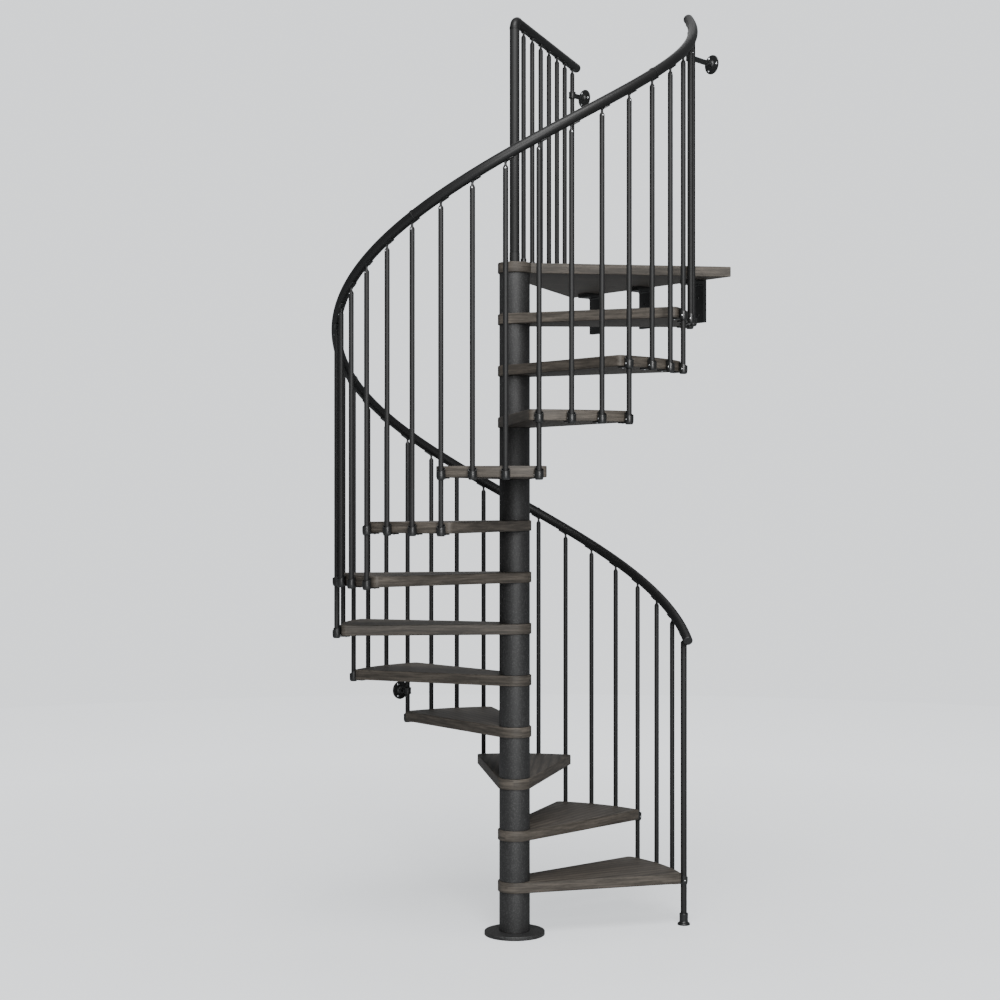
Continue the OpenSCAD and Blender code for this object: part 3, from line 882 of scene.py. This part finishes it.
# %% [markdown]
# ## The helical handrail
# The rail is five lengths of round profile. A curve with a bevel would do, but sweeping
# the rings in code lets each ring lie exactly square to the helix, and the cut ends
# can be eased so that every seam shows as a fine line.

# %% Handrail lengths
RAIL_SIDES = 48
LENGTHS = 5
BARS_PER_LENGTH = 8
FIRST_SEAM_BAR = 7
SEAM_SHIFT = radians(0.6)
LEAD_IN = radians(5)
RUN_OUT = radians(2.3)
RING_STEP = radians(1.2)
END_EASE = 0.8 * MM
seams = ([-LEAD_IN]
         + [(FIRST_SEAM_BAR + n * BARS_PER_LENGTH) * BAR_TURN + SEAM_SHIFT
            for n in range(LENGTHS - 1)]
         + [LAST_BAR * BAR_TURN + RUN_OUT])


def round_ring(place, radius, offset=0.0, sides=RAIL_SIDES):
    """Ring of points round the local Z axis."""
    return [place @ Vector((radius * cos(a), radius * sin(a), offset))
            for a in (2 * pi * s / sides for s in range(sides))]


for n in range(LENGTHS):
    start, end = seams[n], seams[n + 1]
    steps = ceil((end - start) / RING_STEP)
    rings = [round_ring(on_rail(start), RAIL_R - END_EASE),
             round_ring(on_rail(start), RAIL_R, END_EASE)]
    rings += [round_ring(on_rail(start + (end - start) * s / steps), RAIL_R)
              for s in range(1, steps)]
    rings += [round_ring(on_rail(end), RAIL_R, -END_EASE),
              round_ring(on_rail(end), RAIL_R - END_EASE)]
    shape = bmesh.new()
    swept(shape, rings)
    name = "handrail_%d" % (n + 1)
    add_piece("plastic_" + name, shape, rail_plastic, "handrail_plastic", name)
print("seams at", [round(degrees(s), 1) for s in seams], "degrees")

# %% [markdown]
# ## Seam collars and end caps
# A thin sleeve covers each seam, and a plug with a softly domed face closes each end.
# Small as they are, they tell the eye that the rail is made of lengths.

# %% Collars and caps
COLLAR_HALF = 4 * MM
COLLAR_PROUD = 2 * MM
CAP_T = 4 * MM
shape = bmesh.new()
for seam in seams[1:-1]:
    turned(shape, [
        (RAIL_R - 0.5 * MM, -COLLAR_HALF, 0),
        (RAIL_R + COLLAR_PROUD, -COLLAR_HALF, 1 * MM),
        (RAIL_R + COLLAR_PROUD, COLLAR_HALF, 1 * MM),
        (RAIL_R - 0.5 * MM, COLLAR_HALF, 0)
    ], on_rail(seam), sides=RAIL_SIDES, closed=True)
add_piece("plastic_rail_collars", shape, rail_plastic, "handrail_plastic", "rail_collars")

flip = spin(pi, "X")
landing_end = (stand_at(LANDING_RAIL_ANGLE, LANDING_RAIL_L, LANDING_RAIL_Z)
               @ spin(QUARTER, "Y"))
shape = bmesh.new()
for place in (on_rail(seams[0]) @ flip, on_rail(seams[-1]), landing_end):
    turned(shape, [
        (0, -1 * MM, 0),
        (RAIL_R - 1.5 * MM, -1 * MM, 0),
        (RAIL_R - 1.5 * MM, 0.4 * MM, 0),
        (RAIL_R, 0.4 * MM, 0.3 * MM),
        (RAIL_R, 1.6 * MM, 0.6 * MM),
        (RAIL_R - 3 * MM, 3.4 * MM, 2 * MM),
        (0, CAP_T, 0)
    ], place, sides=RAIL_SIDES)
add_piece("nylon_rail_caps", shape, black_nylon, "black_fitting", "rail_caps")
print("collars", LENGTHS - 1, "caps 3")

# %% [markdown]
# ## The landing's balustrade
# A thicker post stands on the landing over the column. It rises from a flange and a short
# socket, turns over in an elbow and runs level to the wall as a rail.
# The elbow is its own fitting with a small bead at each mouth.

# %% Post
post_low, post_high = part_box("landing_post")
POST_R = 20 * MM
SOCKET_R = 21 * MM
SOCKET_H = 42 * MM
FLANGE_R = (post_high.x - post_low.x) / 2
shape = bmesh.new()
turned(shape, [
    (0, LANDING_TOP, 0),
    (FLANGE_R, LANDING_TOP, 0.5 * MM),
    (FLANGE_R, LANDING_TOP + 4 * MM, 1.5 * MM),
    (SOCKET_R, LANDING_TOP + 4 * MM, 1 * MM),
    (SOCKET_R, LANDING_TOP + SOCKET_H, 1 * MM),
    (POST_R - 0.6 * MM, LANDING_TOP + SOCKET_H, 0),
    (POST_R - 0.6 * MM, LANDING_TOP + SOCKET_H + 1.5 * MM, 0),
    (POST_R, LANDING_TOP + SOCKET_H + 1.5 * MM, 0.4 * MM),
    (POST_R, post_high.z, 0.4 * MM),
    (0, post_high.z, 0)
], sides=64)
add_piece("steel_landing_post", shape, bar_coat, "powder_coated_steel", "landing_post")
print("post", round((post_high.z - post_low.z) / MM), "mm tall")

# %% Elbow and level rail
ELBOW_R = 36 * MM
BEAD = 1.2 * MM
BEAD_L = 7 * MM
ELBOW_STEPS = 16
rail_turned = spin(LANDING_RAIL_ANGLE, "Z")
elbow_middle = rail_turned @ shift(ELBOW_R, 0, LANDING_RAIL_Z - ELBOW_R)


def on_elbow(angle):
    """Frame on the elbow's centre line, from the post at 0 to the rail at a quarter turn."""
    return elbow_middle @ spin(angle, "Y") @ shift(-ELBOW_R, 0, 0)


bead_turn = BEAD_L / ELBOW_R
elbow_rings = [
    round_ring(on_elbow(0), RAIL_R),
    round_ring(on_elbow(0), RAIL_R + BEAD, 0.6 * MM),
    round_ring(on_elbow(bead_turn), RAIL_R + BEAD, -0.6 * MM),
    round_ring(on_elbow(bead_turn), RAIL_R + 0.2 * MM, 0.6 * MM)
]
elbow_rings += [round_ring(on_elbow(bead_turn + (QUARTER - 2 * bead_turn) * s / ELBOW_STEPS),
                           RAIL_R + 0.2 * MM) for s in range(1, ELBOW_STEPS)]
elbow_rings += [
    round_ring(on_elbow(QUARTER - bead_turn), RAIL_R + 0.2 * MM, -0.6 * MM),
    round_ring(on_elbow(QUARTER - bead_turn), RAIL_R + BEAD, 0.6 * MM),
    round_ring(on_elbow(QUARTER), RAIL_R + BEAD, -0.6 * MM),
    round_ring(on_elbow(QUARTER), RAIL_R)
]
shape = bmesh.new()
swept(shape, elbow_rings)
add_piece("plastic_landing_elbow", shape, rail_plastic, "handrail_plastic", "landing_elbow")

shape = bmesh.new()
rail_start = stand_at(LANDING_RAIL_ANGLE, ELBOW_R, LANDING_RAIL_Z) @ spin(QUARTER, "Y")
turned(shape, [
    (0, 0, 0),
    (RAIL_R, 0, END_EASE),
    (RAIL_R, LANDING_RAIL_L - ELBOW_R, END_EASE),
    (0, LANDING_RAIL_L - ELBOW_R, 0)
], rail_start, sides=RAIL_SIDES)
add_piece("plastic_landing_rail", shape, rail_plastic, "handrail_plastic", "landing_handrail")
print("landing rail", round(LANDING_RAIL_L / MM), "mm from the column")

# %% Landing balusters and their feet
LANDING_FOOT_R = 13.5 * MM
LANDING_FOOT_H = 33 * MM
bars = bmesh.new()
feet = bmesh.new()
for j in range(1, LANDING_BARS + 1):
    spot = stand_at(LANDING_RAIL_ANGLE, j * LANDING_PITCH, 0)
    turned(bars, bar_profile(BAR_R, LANDING_TOP, LANDING_HEAD), spot, sides=28)
    turned(feet, [
        (BAR_R + 0.1 * MM, LANDING_TOP, 0),
        (LANDING_FOOT_R, LANDING_TOP, 0.8 * MM),
        (LANDING_FOOT_R, LANDING_TOP + 4 * MM, 1.5 * MM),
        (LANDING_FOOT_R - 1.2 * MM, LANDING_TOP + 8 * MM, 2 * MM),
        (LANDING_FOOT_R - 1.2 * MM, LANDING_TOP + LANDING_FOOT_H, 1.2 * MM),
        (BAR_R + 0.1 * MM, LANDING_TOP + LANDING_FOOT_H, 0.3 * MM)
    ], spot, sides=32, closed=True)
add_piece("steel_landing_balusters", bars, bar_coat, "powder_coated_steel", "landing_balusters")
add_piece("nylon_landing_feet", feet, black_nylon, "black_fitting", "landing_feet")
print("landing balusters", LANDING_BARS, "at", round(LANDING_PITCH / MM, 1), "mm")

# %% [markdown]
# ## The newel's foot
# The newel stands in a moulded foot like a walking stick's ferrule. The sleeve
# flares out to a rounded flange on the floor.

# %% Newel foot
foot_low, foot_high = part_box("newel_foot")
FOOT_R = (foot_high.x - foot_low.x) / 2
SLEEVE_R = 18.5 * MM
shape = bmesh.new()
turned(shape, [
    (NEWEL_R + 0.1 * MM, 0, 0),
    (FOOT_R - 0.5 * MM, 0, 1 * MM),
    (FOOT_R, 3 * MM, 2 * MM),
    (FOOT_R - 1 * MM, 8 * MM, 2.5 * MM),
    (SLEEVE_R + 1 * MM, 10.5 * MM, 3 * MM),
    (SLEEVE_R - 0.7 * MM, 16 * MM, 3 * MM),
    (SLEEVE_R - 0.3 * MM, foot_high.z - 4 * MM, 1 * MM),
    (SLEEVE_R, foot_high.z - 3 * MM, 1 * MM),
    (SLEEVE_R - 0.6 * MM, foot_high.z, 0.8 * MM),
    (NEWEL_R + 0.1 * MM, foot_high.z, 0.3 * MM)
], stand_at(NEWEL_ANGLE, RAIL_REACH, 0), sides=48, closed=True)
add_piece("nylon_newel_foot", shape, black_nylon, "black_fitting", "newel_foot")
print("foot", round(foot_high.z / MM), "mm tall")

# %% [markdown]
# ## Wall anchors
# Three balusters are tied to the walls. A ring clamps the bar, an arm
# leads at a slant to the wall, and a cone spreads it into a domed disc that is held by
# three screws. Seen from the front only the disc and the bright screws
# catch the eye, but each part is modelled for the other views.

# %% Wall anchor
RING_R = 16 * MM
RING_H = 28 * MM
ARM_W = 12 * MM
ARM_H = 20 * MM
ARM_SLANT = radians(12)
DISC_R = 40 * MM
SCREW_CIRCLE = 29 * MM
anchors = bmesh.new()
screw_places = []


def soft_box(shape, low, high, place, ease=1.5 * MM):
    """Adds a box with softened long edges, made as a plate with rounded corners."""
    corners = [Vector((low[1], low[2])), Vector((high[1], low[2])),
               Vector((high[1], high[2])), Vector((low[1], high[2]))]
    outline = []
    for n, here in enumerate(corners):
        start = here + (corners[n - 1] - here).normalized() * ease
        end = here + (corners[(n + 1) % 4] - here).normalized() * ease
        outline += [start, start * 0.25 + here * 0.5 + end * 0.25, end]
    levels = [(ease * 0.6, low[0]), (0, low[0] + ease * 0.6),
              (0, high[0] - ease * 0.6), (ease * 0.6, high[0])]
    swept(shape, [[place @ Vector((x, p.x, p.y)) for p in drawn_in(outline, amount)]
                  for amount, x in levels])


def wall_anchor(spot, height, wall_angle):
    """Adds one anchor and notes where its screws go."""
    normal = Vector((cos(wall_angle), sin(wall_angle)))
    gap = WALL_REACH - spot.dot(normal)
    sideways = gap * tan(ARM_SLANT)
    frame_here = shift(*spot, height) @ spin(wall_angle, "Z")
    half = RING_H / 2
    turned(anchors, [
        (BAR_R + 0.1 * MM, -half, 0),
        (RING_R, -half, 1.5 * MM),
        (RING_R, -half + 5 * MM, 0.5 * MM),
        (RING_R - 1 * MM, -half + 6 * MM, 0.5 * MM),
        (RING_R - 1 * MM, half - 6 * MM, 0.5 * MM),
        (RING_R, half - 5 * MM, 0.5 * MM),
        (RING_R, half, 1.5 * MM),
        (BAR_R + 0.1 * MM, half, 0)
    ], frame_here, sides=40, closed=True)
    slanted = frame_here @ spin(ARM_SLANT, "Z")
    arm_l = (gap - 4 * MM) / cos(ARM_SLANT)
    soft_box(anchors, (RING_R - 2 * MM, -ARM_W / 2, -ARM_H / 2),
             (arm_l, ARM_W / 2, ARM_H / 2), slanted)
    # Z of the disc's frame points from the wall back to the baluster
    disc = frame_here @ shift(gap, sideways, 0) @ spin(-QUARTER, "Y")
    turned(anchors, [
        (0, 0, 0),
        (DISC_R, 0, 0.4 * MM),
        (DISC_R, 2.6 * MM, 1.2 * MM),
        (DISC_R - 4 * MM, 4.6 * MM, 2 * MM),
        (19 * MM, 6 * MM, 3 * MM),
        (12.5 * MM, 11 * MM, 2 * MM),
        (10.5 * MM, min(20 * MM, gap * 0.45), 1.5 * MM),
        (0, min(20 * MM, gap * 0.45), 0)
    ], disc, sides=64)
    for q in range(3):
        a = q * 2 * pi / 3 - QUARTER
        screw_places.append(disc @ shift(SCREW_CIRCLE * cos(a), SCREW_CIRCLE * sin(a), 5 * MM))


anchor_low, anchor_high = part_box("wall_anchors")
LOW_ANCHOR_BAR = 12
low_spot = RAIL_REACH * Vector((cos(bar_angle(LOW_ANCHOR_BAR)), sin(bar_angle(LOW_ANCHOR_BAR))))
landing_spot = (LANDING_BARS * LANDING_PITCH
                * Vector((cos(LANDING_RAIL_ANGLE), sin(LANDING_RAIL_ANGLE))))
OVER_TREAD = 85 * MM
UNDER_RAIL = 146 * MM
UNDER_LANDING_RAIL = 134.5 * MM
LOW_ANCHOR_Z = tread_top(LOW_ANCHOR_BAR // BARS_PER_TREAD) + OVER_TREAD
TOP_ANCHOR_Z = rail_height(LAST_BAR * BAR_TURN) - UNDER_RAIL
LANDING_ANCHOR_Z = LANDING_RAIL_Z - UNDER_LANDING_RAIL
wall_anchor(low_spot, LOW_ANCHOR_Z, pi)
wall_anchor(last_spot, TOP_ANCHOR_Z, QUARTER)
wall_anchor(landing_spot, LANDING_ANCHOR_Z, QUARTER)
add_piece("nylon_wall_anchors", anchors, black_nylon, "black_fitting", "wall_anchors")
print("anchors span", round(anchor_low.z, 3), "to", round(anchor_high.z, 3), "m")

# %% [markdown]
# ## Slab brackets
# Three angle brackets carry the landing's wall edge. Each is a heavy flat bar bent to
# an L, so its outer corner is rounded and its inner corner has a fillet.

# %% Slab brackets
bracket_low, bracket_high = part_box("slab_brackets")
BRACKET_W = 70 * MM
BRACKET_T = 18 * MM
BRACKET_L = WALL_REACH - bracket_low.y
BRACKET_H = bracket_high.z - bracket_low.z
BRACKET_MARGIN = 141 * MM
# Places of the bolts, as shares of the bracket's width, length and height
BOLTS_ACROSS = (0.25, 0.75)
BOLTS_OUT = 0.62
BOLTS_DOWN = (0.42, 0.82)
bracket_middle = (left_corner.x + right_corner.x) / 2
bracket_pitch = (right_corner.x - left_corner.x - BRACKET_W) / 2 - BRACKET_MARGIN
inner = Vector((-BRACKET_T, -BRACKET_T))
FILLET = 7 * MM
bracket_line = ([Vector((0, 0)), Vector((0, -BRACKET_H)), Vector((-BRACKET_T, -BRACKET_H))]
                + arc(inner + Vector((-FILLET, -FILLET)), FILLET, 0, QUARTER, 5)
                + [Vector((-BRACKET_L, -BRACKET_T)), Vector((-BRACKET_L, 0))])
shape = bmesh.new()
bolt_places = []
for side_step in (-1, 0, 1):
    x = bracket_middle + side_step * bracket_pitch - BRACKET_W / 2
    # The plate's own X and Y become the stair's Y and Z, and its thickness runs along X
    place = Matrix(((0, 0, 1, x), (1, 0, 0, WALL_REACH), (0, 1, 0, bracket_high.z),
                    (0, 0, 0, 1)))
    rounded_plate(shape, bracket_line, 0, BRACKET_W, place, ease=1.2 * MM)
    for share in BOLTS_ACROSS:
        bolt_places.append(shift(x + BRACKET_W * share, WALL_REACH - BRACKET_L * BOLTS_OUT,
                                 bracket_high.z - BRACKET_T) @ flip)
    for drop in BOLTS_DOWN:
        bolt_places.append(shift(x + BRACKET_W / 2, WALL_REACH - BRACKET_T,
                                 bracket_high.z - BRACKET_H * drop) @ spin(QUARTER, "X"))
add_piece("steel_slab_brackets", shape, black_nylon, "black_fitting", "slab_brackets")
print("brackets at", round(bracket_pitch / MM, 1), "mm")

# %% [markdown]
# ## Screws
# Every fitting is held by something. Domed screws hold the anchors and the clips'
# tabs, flat blackened bolts hold the brackets, and tiny set screws lock each pin
# and each cup to its baluster. A socket in each head keeps them from reading as beads.

# %% Helper: screw heads


def screw_head(shape, place, radius, height, socket=0.32):
    """Adds a domed head with a round socket, standing on local Z = 0."""
    dome = [(radius * cos(a), height * sin(a), 0)
            for a in (acos(socket) * n / 5 for n in range(6))]
    turned(shape, [
        (0, -height * 0.5, 0), (radius, -height * 0.5, 0), *dome,
        (radius * socket, height * 0.4, 0), (0, height * 0.4, 0)
    ], place, sides=24)


# Each is a radius and a height
ANCHOR_SCREW = (5.5 * MM, 3.2 * MM)
SET_SCREW = (3.2 * MM, 1.6 * MM)
TAB_SCREW = (4.2 * MM, 2.4 * MM)
BRACKET_BOLT = (7 * MM, 2 * MM)
bright = bmesh.new()
for place in screw_places:
    screw_head(bright, place, *ANCHOR_SCREW)
# The set screw of each baluster faces outwards, just under the shoulder
for k in range(LAST_BAR + 1):
    radius = NEWEL_R if k == 0 else BAR_R
    place = (stand_at(bar_angle(k), RAIL_REACH, bar_head(k) - SHOULDER - 4 * MM)
             @ shift(radius - 0.6 * MM, 0, 0)
             @ spin(QUARTER, "Y"))
    screw_head(bright, place, *SET_SCREW)
# One screw holds each clip's tab up to the tread
for k, place in clip_places:
    under = place @ shift(-CLIP_R - TAB_L * 0.55, 0, -TAB_T) @ flip
    screw_head(bright, under, *TAB_SCREW)
# A set screw in each cup's lower side grips the baluster
for k, place in clip_places:
    side_screw = place @ shift(0, -CLIP_R + 0.5 * MM, 9 * MM) @ spin(QUARTER, "X")
    screw_head(bright, side_screw, *SET_SCREW)
add_piece("zinc_screws", bright, zinc, "powder_coated_steel")
dark = bmesh.new()
for place in bolt_places:
    screw_head(dark, place, *BRACKET_BOLT)
add_piece("black_bracket_bolts", dark, black_nylon, "black_fitting")
print("bright screws", len(screw_places) + LAST_BAR + 1 + 2 * len(clip_places))

# %% [markdown]
# ## Floor and light
# A plain pale floor catches a soft shadow. It glows a little towards its rim, only for
# the eye and not for the stair, so it melts into the backdrop without an edge.
# One tall soft light beside the camera draws the light band down the column and a
# thin line down each bar, a wide one overhead lights the treads, and a weak one
# behind parts the bars from each other.

# %% Floor
FLOOR_R = 9
PALE = "#e4e7ea"
floor_shape = bmesh.new()
bmesh.ops.create_circle(floor_shape, cap_ends=True, radius=FLOOR_R, segments=128)
floor_mesh = bpy.data.meshes.new("studio_floor")
floor_shape.to_mesh(floor_mesh)
floor_shape.free()
floor = bpy.data.objects.new("studio_floor", floor_mesh)
floor.location.z = -0.0005
bpy.context.scene.collection.objects.link(floor)
floor_paint, tree = new_finish("pale_studio_floor")
places = add_node(tree, "TexCoord").outputs["Object"]
mottle = add_node(tree, "TexNoise", {"Vector": places, "Scale": 1.5, "Detail": 2.0})
tone = add_node(tree, "ValToRGB", {"Fac": mottle},
                [(0.3, paint("#a9abad")), (0.7, paint("#adafb1"))])
distance = add_node(tree, "VectorMath", {0: places}, operation="LENGTH").outputs["Value"]
# Painted light: a glow seen only by the camera, rising from near the stair out to the rim
glow = add_node(tree, "MapRange", {
    "Value": distance, "From Min": 0.8, "From Max": 5.0, "To Min": 1.05, "To Max": 1.5})
to_the_eye = add_node(tree, "LightPath").outputs["Is Camera Ray"]
eye_only = add_node(tree, "Math", {0: glow, 1: to_the_eye}, operation="MULTIPLY")
surface(tree, {"Base Color": tone, "Roughness": 0.8, "Emission Color": paint(PALE),
               "Emission Strength": eye_only})
floor_mesh.materials.append(floor_paint)
print("floor radius", FLOOR_R, "m")

# %% Lights


def soft_light(name, location, target, width, height, watts):
    """An area light of that width and height that looks at a point."""
    data = bpy.data.lights.new(name, "AREA")
    data.shape = "RECTANGLE"
    data.size = width
    data.size_y = height
    data.energy = watts
    light = bpy.data.objects.new(name, data)
    light.location = location
    aim = Vector(target) - Vector(location)
    light.rotation_euler = aim.to_track_quat("-Z", "Y").to_euler()
    bpy.context.scene.collection.objects.link(light)


soft_light("key_light", (6.9, -3.6, 3.4), (0, 0, 1.9), 2.2, 3.6, 560)
soft_light("top_light", (4.6, -3.7, 10.5), (0, 0, 1.5), 6.0, 6.0, 1550)
soft_light("back_light", (-4.5, 4.5, 7.5), (0, 0, 1.5), 4.0, 4.0, 90)

# The camera sees a pale backdrop, while the stair is lit by a much dimmer sky
sky = bpy.data.worlds.new("pale_sky")
sky.use_nodes = True
sky_tree = sky.node_tree
sky_tree.nodes.clear()
backdrop = add_node(sky_tree, "Background", {"Color": paint(PALE), "Strength": 1.75})
dim_sky = add_node(sky_tree, "Background", {"Color": paint(PALE), "Strength": 0.30})
seen = add_node(sky_tree, "LightPath").outputs["Is Camera Ray"]
both = add_node(sky_tree, "MixShader", {0: seen, 1: dim_sky, 2: backdrop})
add_node(sky_tree, "OutputWorld", {"Surface": both})
bpy.context.scene.world = sky
print("lights 3 and a pale sky")
